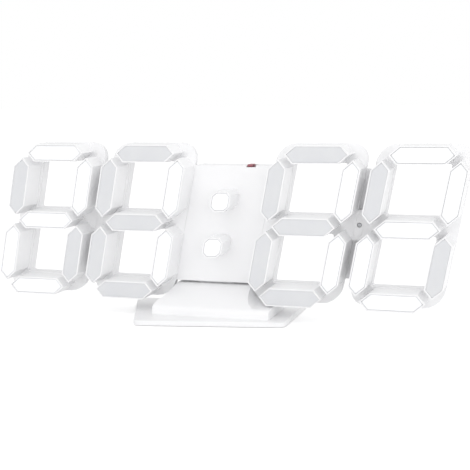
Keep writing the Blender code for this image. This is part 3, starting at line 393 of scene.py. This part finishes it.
def nickel_plate():
    """Nickel over turned steel: a warm grey mirror broken by a fine tooling grain, drawn at 0.25 mm."""
    material, tree, shader = new_material("nickel-plated steel, turned")
    fine = object_noise(tree, 0.25, 2.0).outputs["Fac"]
    rough = add(tree, "ShaderNodeMapRange", inputs={"Value": fine, "To Min": 0.2, "To Max": 0.42})
    bump = add(tree, "ShaderNodeBump", inputs={"Height": fine, "Strength": 0.6, "Distance": 0.01 * MM})
    shader.inputs["Base Color"].default_value = linear("#C9C5BE")
    shader.inputs["Metallic"].default_value = 1.0
    tree.links.new(rough.outputs["Result"], shader.inputs["Roughness"])
    tree.links.new(bump.outputs["Normal"], shader.inputs["Normal"])
    return material


SATIN = satin_abs()
SPARK = spark_abs()
OPAL = opal_diffuser()
LIT = lit_diffuser()
NICKEL = nickel_plate()
# Glass-filled nylon housings are near black and dull, with a coarse flow grain.
BLACK = plastic("glass-filled nylon, black", "#1D1D1F", "#161617", 0.5, 0.5, 0.01)[0]
# Silicone keys are mid grey and dull, and feel dry.
KEY = plastic("moulded silicone keys, grey", "#A3A6AA", "#9A9DA1", 0.6, 0.4, 0.006)[0]
# Acetal dyed a dull red is waxy, with a tight highlight.
RED = plastic("moulded acetal, dull red", "#A5606A", "#9C5761", 0.34, 0.5, 0.002)[0]
# Silicone rubber grips the table with a dusty matt face.
PAD = plastic("silicone rubber sheet, pale grey", "#CDCECF", "#C6C7C8", 0.75, 0.5, 0.02)[0]
# White solder mask over glass-epoxy board, whose weave shows through as a faint ripple.
BOARD = plastic("white solder mask on FR4", "#E3E4DF", "#DADBD5", 0.32, 0.4, 0.006)[0]
# Clear epoxy over the light sensor's pale chip is smooth, and slightly darker than the shell round it.
EPOXY = plastic("clear epoxy over a pale chip", "#CDCED1", "#C6C7CA", 0.14, 0.8, 0.001, 0.04)[0]


# Lenses


def chip_glow(piece, centre, way):
    """Brightness of a lit lens: 3/4 all over, up to 1 over its chips by the sum of
    exp(-(distance / reach)^2) from each chip, and 1/2 at the fillet and behind it, where the cup's rim
    holds the light back."""
    mesh = piece.data
    co = np.empty(len(mesh.vertices) * 3)
    mesh.vertices.foreach_get("co", co)
    co = co.reshape(-1, 3)
    spread = CHIP_SPREAD[way]
    steps = np.array([(-spread, 0), (spread, 0)] if way == "level" else [(0, -spread), (0, spread)])
    chips = placed(at_depth(steps + centre, 0.0))
    away = np.linalg.norm(co[:, None, :] - chips[None, :, :], axis=2)
    glow = 0.75 + 0.25 * np.clip(np.exp(-(away / (GLOW_REACH * MM)) ** 2).sum(axis=1), 0, 1)
    glow[co[:, 1] > (LENS_FRONT - 0.01) * MM] = 0.5
    values = mesh.attributes.new("chip_glow", "FLOAT", "POINT").data
    values.foreach_set("value", glow.astype(np.float32))


def lens_piece(node, corners, centre, way, lit):
    """The crowned lens that stands for the node, with its glow where it is lit."""
    piece = crowned_lens(node + "_crown", corners, LIT if lit else OPAL)
    if lit:
        chip_glow(piece, centre, way)
    dress(piece, node)


for number, (shown, middle) in enumerate(zip(TIME_SHOWN, DIGIT_CENTRES), 1):
    for segment, (x, z, way) in SEGMENTS.items():
        lit = segment in LIT_SEGMENTS[shown]
        corners = segment_corners(segment, LIT_LENS_MARGIN if lit else LENS_MARGIN) + (middle, 0)
        lens_piece(f"digit_{number}_{segment}_lens", corners, (middle + x, z), way, lit)
for side, node in ((1, "upper_colon_lens"), (-1, "lower_colon_lens")):
    corners = colon_corners(side, LIT_LENS_MARGIN)
    lens_piece(node, corners, (0, side * COLON_SPACING / 2), "point", True)


# Mouldings and metal pieces


def shell_piece(name, grid):
    """A small white moulding that rides with the clock's shell."""
    piece = grid_mesh(name, grid, SATIN)
    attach(piece, "clock")


def joint_lip(name, near, out, low, high, front):
    """A lip in an upright joint: a section of four corners, from near to one lip's width further out,
    and from its front to its back in depth, swept from low to high and closed at both ends."""
    far = near + out * LIP_WIDTH
    section = np.array([(near, front), (far, front), (far, LIP_BACK), (near, LIP_BACK)])
    middle = section.mean(axis=0)
    rings = [
        np.column_stack([section * k + middle * (1 - k), np.full(4, z)])
        for z, k in ((low, 0), (low, 1), (high, 1), (high, 0))
    ]
    shell_piece(name, placed(np.array(rings)))


def joint_lips():
    """A lip on either side of the centre panel, and two beside the web between each pair of digits."""
    for side, name in ((-1, "left"), (1, "right")):
        edge = side * PANEL_HALF_WIDTH
        joint_lip(f"panel_lip_{name}", edge, side, -PANEL_BOTTOM, PANEL_TOP, PANEL_LIP_FRONT)
        for out, place in ((side, "outer"), (-side, "inner")):
            edge = side * PAIR_CENTRE + out * WEB_HALF_WIDTH
            lip = f"web_lip_{name}_{place}"
            joint_lip(lip, edge, out, -WEB_HALF_HEIGHT, WEB_HALF_HEIGHT, WEB_LIP_FRONT)


def tongue_ring(name, outline, width):
    """A closed tongue that fills the joint behind a digit's plate: the outline and the outline drawn in
    by the width, each carried from the plate's back to the cover's front."""
    drawn_in = inset(outline, width)
    loops = [
        at_depth(outline, PLATE_BACK), at_depth(outline, COVER_FRONT),
        at_depth(drawn_in, COVER_FRONT), at_depth(drawn_in, PLATE_BACK),
    ]
    shell_piece(name, placed(np.array(loops + loops[:1])))


def neck_skirt():
    """The flared toe of the neck: rings round its base, from just over the stand's foot, up to where it
    fades into the neck, and back down inside."""
    base = rectangle(*NECK_BASE, NECK_BASE_CENTRE)
    loops = []
    for drawn_in, height in SKIRT_RINGS:
        outline = rounded(inset(base, drawn_in), max(NECK_CORNER - drawn_in, LEAST_SKIRT_CORNER))
        loops.append(np.column_stack([outline, np.full(len(outline), height)]))
    shell_piece("neck_skirt", np.array(loops + loops[:1]) * MM)


def digit_tongues():
    """One tongue inside each plate's edge, and one round each of its two windows."""
    plate = rounded(rectangle(PLATE_WIDTH, PLATE_HEIGHT, (0, 0)), PLATE_CORNER, 6)
    width, height = WINDOW_WIDTH + WINDOW_TONGUE_MARGIN, WINDOW_HEIGHT + WINDOW_TONGUE_MARGIN
    for number, middle in enumerate(DIGIT_CENTRES, 1):
        outer = inset(plate, OUTER_TONGUE_INSET) + (middle, 0)
        tongue_ring(f"digit_{number}_outer_tongue", outer, OUTER_TONGUE_WIDTH)
        for side, place in ((1, "upper"), (-1, "lower")):
            window = rounded(rectangle(width, height, (0, side * ROW / 2)), WINDOW_TONGUE_CORNER)
            tongue_ring(f"digit_{number}_{place}_tongue", window + (middle, 0), WINDOW_TONGUE_WIDTH)


joint_lips()
digit_tongues()
neck_skirt()

# Each slot's material, and the radius in millimetres that its mould leaves on an edge
FINISHES = {
    "white_shell": (SATIN, 0.16),
    "white_cover": (SPARK, 0.12),
    "circuit_board": (BOARD, 0.05),
    "sensor_resin": (EPOXY, 0.1),
    "black_plastic": (BLACK, 0.1),
    "nickel_steel": (NICKEL, 0.05),
    "grey_plastic": (KEY, 0.12),
    "red_plastic": (RED, 0.15),
    "pad_rubber": (PAD, 0.15),
}
# The stand's two mouldings have softer edges than the rest of the shell.
SOFT_EDGES = {"stand_neck": 0.6, "stand_foot": 0.45}
for entry in frame["record"]["subparts"]:
    node, slot = entry["node"], entry["material_slot"]
    if slot in FINISHES:
        material, edge = FINISHES[slot]
        dress(moulded_copy(node, material, SOFT_EDGES.get(node, edge)), node)


# Studio, in metres and watts

FLOOR_SIZE = 12.0
FLOOR_DROP = 0.0001
FLOOR_LIFT = 0.35
LAMPS_AIM = (0, 0, 0.04)


def seen_directly(tree, other_ray):
    """1 where the camera, or the other kind of ray, meets the surface, and 0 elsewhere."""
    path = add(tree, "ShaderNodeLightPath")
    either = {0: path.outputs["Is Camera Ray"], 1: path.outputs[other_ray]}
    return add(tree, "ShaderNodeMath", {"operation": "MAXIMUM"}, either).outputs[0]


def studio_floor():
    """A wide white floor just under the stand's foot. It takes the light as white paint does, and what
    the camera sees of it is lifted to white with its shadows kept."""
    mesh = bpy.data.meshes.new("studio_floor")
    corners = np.column_stack([rectangle(FLOOR_SIZE, FLOOR_SIZE, (0, 0)), np.zeros(4)])
    mesh.from_pydata(corners.tolist(), [], [(0, 1, 2, 3)])
    floor = bpy.data.objects.new("studio_floor", mesh)
    floor.location.z = CAD_BOX[0][2] - FLOOR_DROP
    bpy.context.scene.collection.objects.link(floor)
    material = bpy.data.materials.new("white studio paint")
    material.use_nodes = True
    tree = material.node_tree
    tree.nodes.clear()
    paint = add(tree, "ShaderNodeBsdfDiffuse", inputs={"Color": linear("#F4F4F4")})
    seen = seen_directly(tree, "Is Glossy Ray")
    lift = add(tree, "ShaderNodeMath", {"operation": "MULTIPLY"}, {0: seen, 1: FLOOR_LIFT})
    glow = add(tree, "ShaderNodeEmission", inputs={
        "Color": linear("#FFFFFF"), "Strength": lift.outputs[0],
    })
    both = add(tree, "ShaderNodeAddShader", inputs={0: paint.outputs[0], 1: glow.outputs[0]})
    add(tree, "ShaderNodeOutputMaterial", inputs={"Surface": both.outputs[0]})
    mesh.materials.append(material)


def studio_world(strength):
    """An even white dome, at full white where the camera sees it, also through clear material."""
    world = bpy.data.worlds.new("studio dome")
    world.use_nodes = True
    tree = world.node_tree
    tree.nodes.clear()
    seen = seen_directly(tree, "Is Transmission Ray")
    level = add(tree, "ShaderNodeMapRange", inputs={"Value": seen, "To Min": strength, "To Max": 1.0})
    sky = add(tree, "ShaderNodeBackground", inputs={
        "Color": linear("#FFFFFF"), "Strength": level.outputs["Result"],
    })
    add(tree, "ShaderNodeOutputWorld", inputs={"Surface": sky.outputs[0]})
    bpy.context.scene.world = world


def softbox(name, place, width, height, watts):
    """A rectangle of light that faces the middle of the clock and that the camera doesn't see."""
    toward = Vector(LAMPS_AIM) - Vector(place)
    lamp = bpy.data.lights.new(name, "AREA")
    lamp.shape = "RECTANGLE"
    lamp.size = width
    lamp.size_y = height
    lamp.energy = watts
    holder = bpy.data.objects.new(name, lamp)
    holder.location = place
    holder.rotation_euler = toward.to_track_quat("-Z", "Y").to_euler()
    holder.visible_camera = False
    bpy.context.scene.collection.objects.link(holder)


def photo_camera():
    """The camera fitted to the corners of the lenses in the photograph: its aim, distance, turn, tilt
    and roll."""
    yaw, pitch, roll = math.radians(17.6089), math.radians(8.0456), math.radians(-0.7321)
    forward = Vector((
        -math.sin(yaw) * math.cos(pitch), math.cos(yaw) * math.cos(pitch), -math.sin(pitch),
    ))
    level = Vector((math.cos(yaw), math.sin(yaw), 0))
    upright = level.cross(forward)
    across = math.cos(roll) * level + math.sin(roll) * upright
    up = math.cos(roll) * upright - math.sin(roll) * level
    target, distance = Vector((9.69, 0, 42.79)) * MM, 0.49713
    data = bpy.data.cameras.new("photo_camera")
    data.sensor_width = 36
    focal_pixels, photo_pixels = 1023.727, 470
    data.lens = data.sensor_width * focal_pixels / photo_pixels
    data.clip_start = 0.01
    camera = bpy.data.objects.new("photo_camera", data)
    turn = Matrix((across, up, -forward)).transposed().to_4x4()
    camera.matrix_world = Matrix.Translation(target - forward * distance) @ turn
    bpy.context.scene.collection.objects.link(camera)
    bpy.context.scene.camera = camera


studio_floor()
studio_world(0.79)
softbox("overhead softbox", (-0.6, -0.7, 1.5), 1.6, 1.2, 3.4)
softbox("front softbox", (0.1, -1.8, 0.7), 1.6, 1.2, 4.4)
softbox("corner softbox", (1.3, -1.3, 0.5), 1.4, 1.0, 3.2)
softbox("side softbox", (1.7, -0.1, 0.5), 1.2, 1.0, 2.4)
softbox("rear softbox", (0.2, 1.6, 1.0), 1.6, 1.2, 2.0)
photo_camera()
bpy.context.scene.view_settings.view_transform = "Standard"
